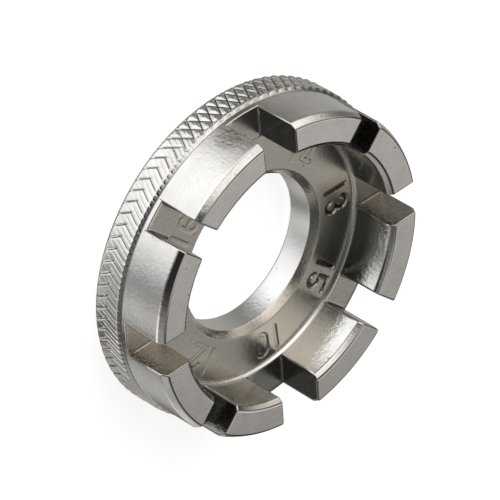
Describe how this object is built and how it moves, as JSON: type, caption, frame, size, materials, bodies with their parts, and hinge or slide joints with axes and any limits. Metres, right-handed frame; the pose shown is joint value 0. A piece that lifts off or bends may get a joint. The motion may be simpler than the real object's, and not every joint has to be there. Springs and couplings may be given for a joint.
{
  "type": "spoke wrench",
  "caption": "Round spoke wrench with a knurled rim, a bored plate with gauge numbers, and a crown of jaws with parallel slots that turn spoke nipples of different sizes.",
  "frame": {"origin": "on the bore's axis, in the plane of the flat back face", "axes": "+Z along the bore's axis, out of the side with the jaws; +X through the middle of the slot marked 15; +Y through the middle of the slot marked 14"},
  "size_m": [0.038, 0.038, 0.01],
  "materials": {
    "cast_nickel": "bright nickel plate over a steel casting, with fine orange peel",
    "knurled_nickel": "bright nickel plate over a rolled diamond knurl"
  },
  "bodies": {
    "root": {"face_plate": "cast_nickel", "knurled_rim": "knurled_nickel", "jaw_1": "cast_nickel", "jaw_2": "cast_nickel", "jaw_3": "cast_nickel", "jaw_4": "cast_nickel", "jaw_5": "cast_nickel", "jaw_6": "cast_nickel", "jaw_7": "cast_nickel", "jaw_8": "cast_nickel"}
  },
  "joints": []
}
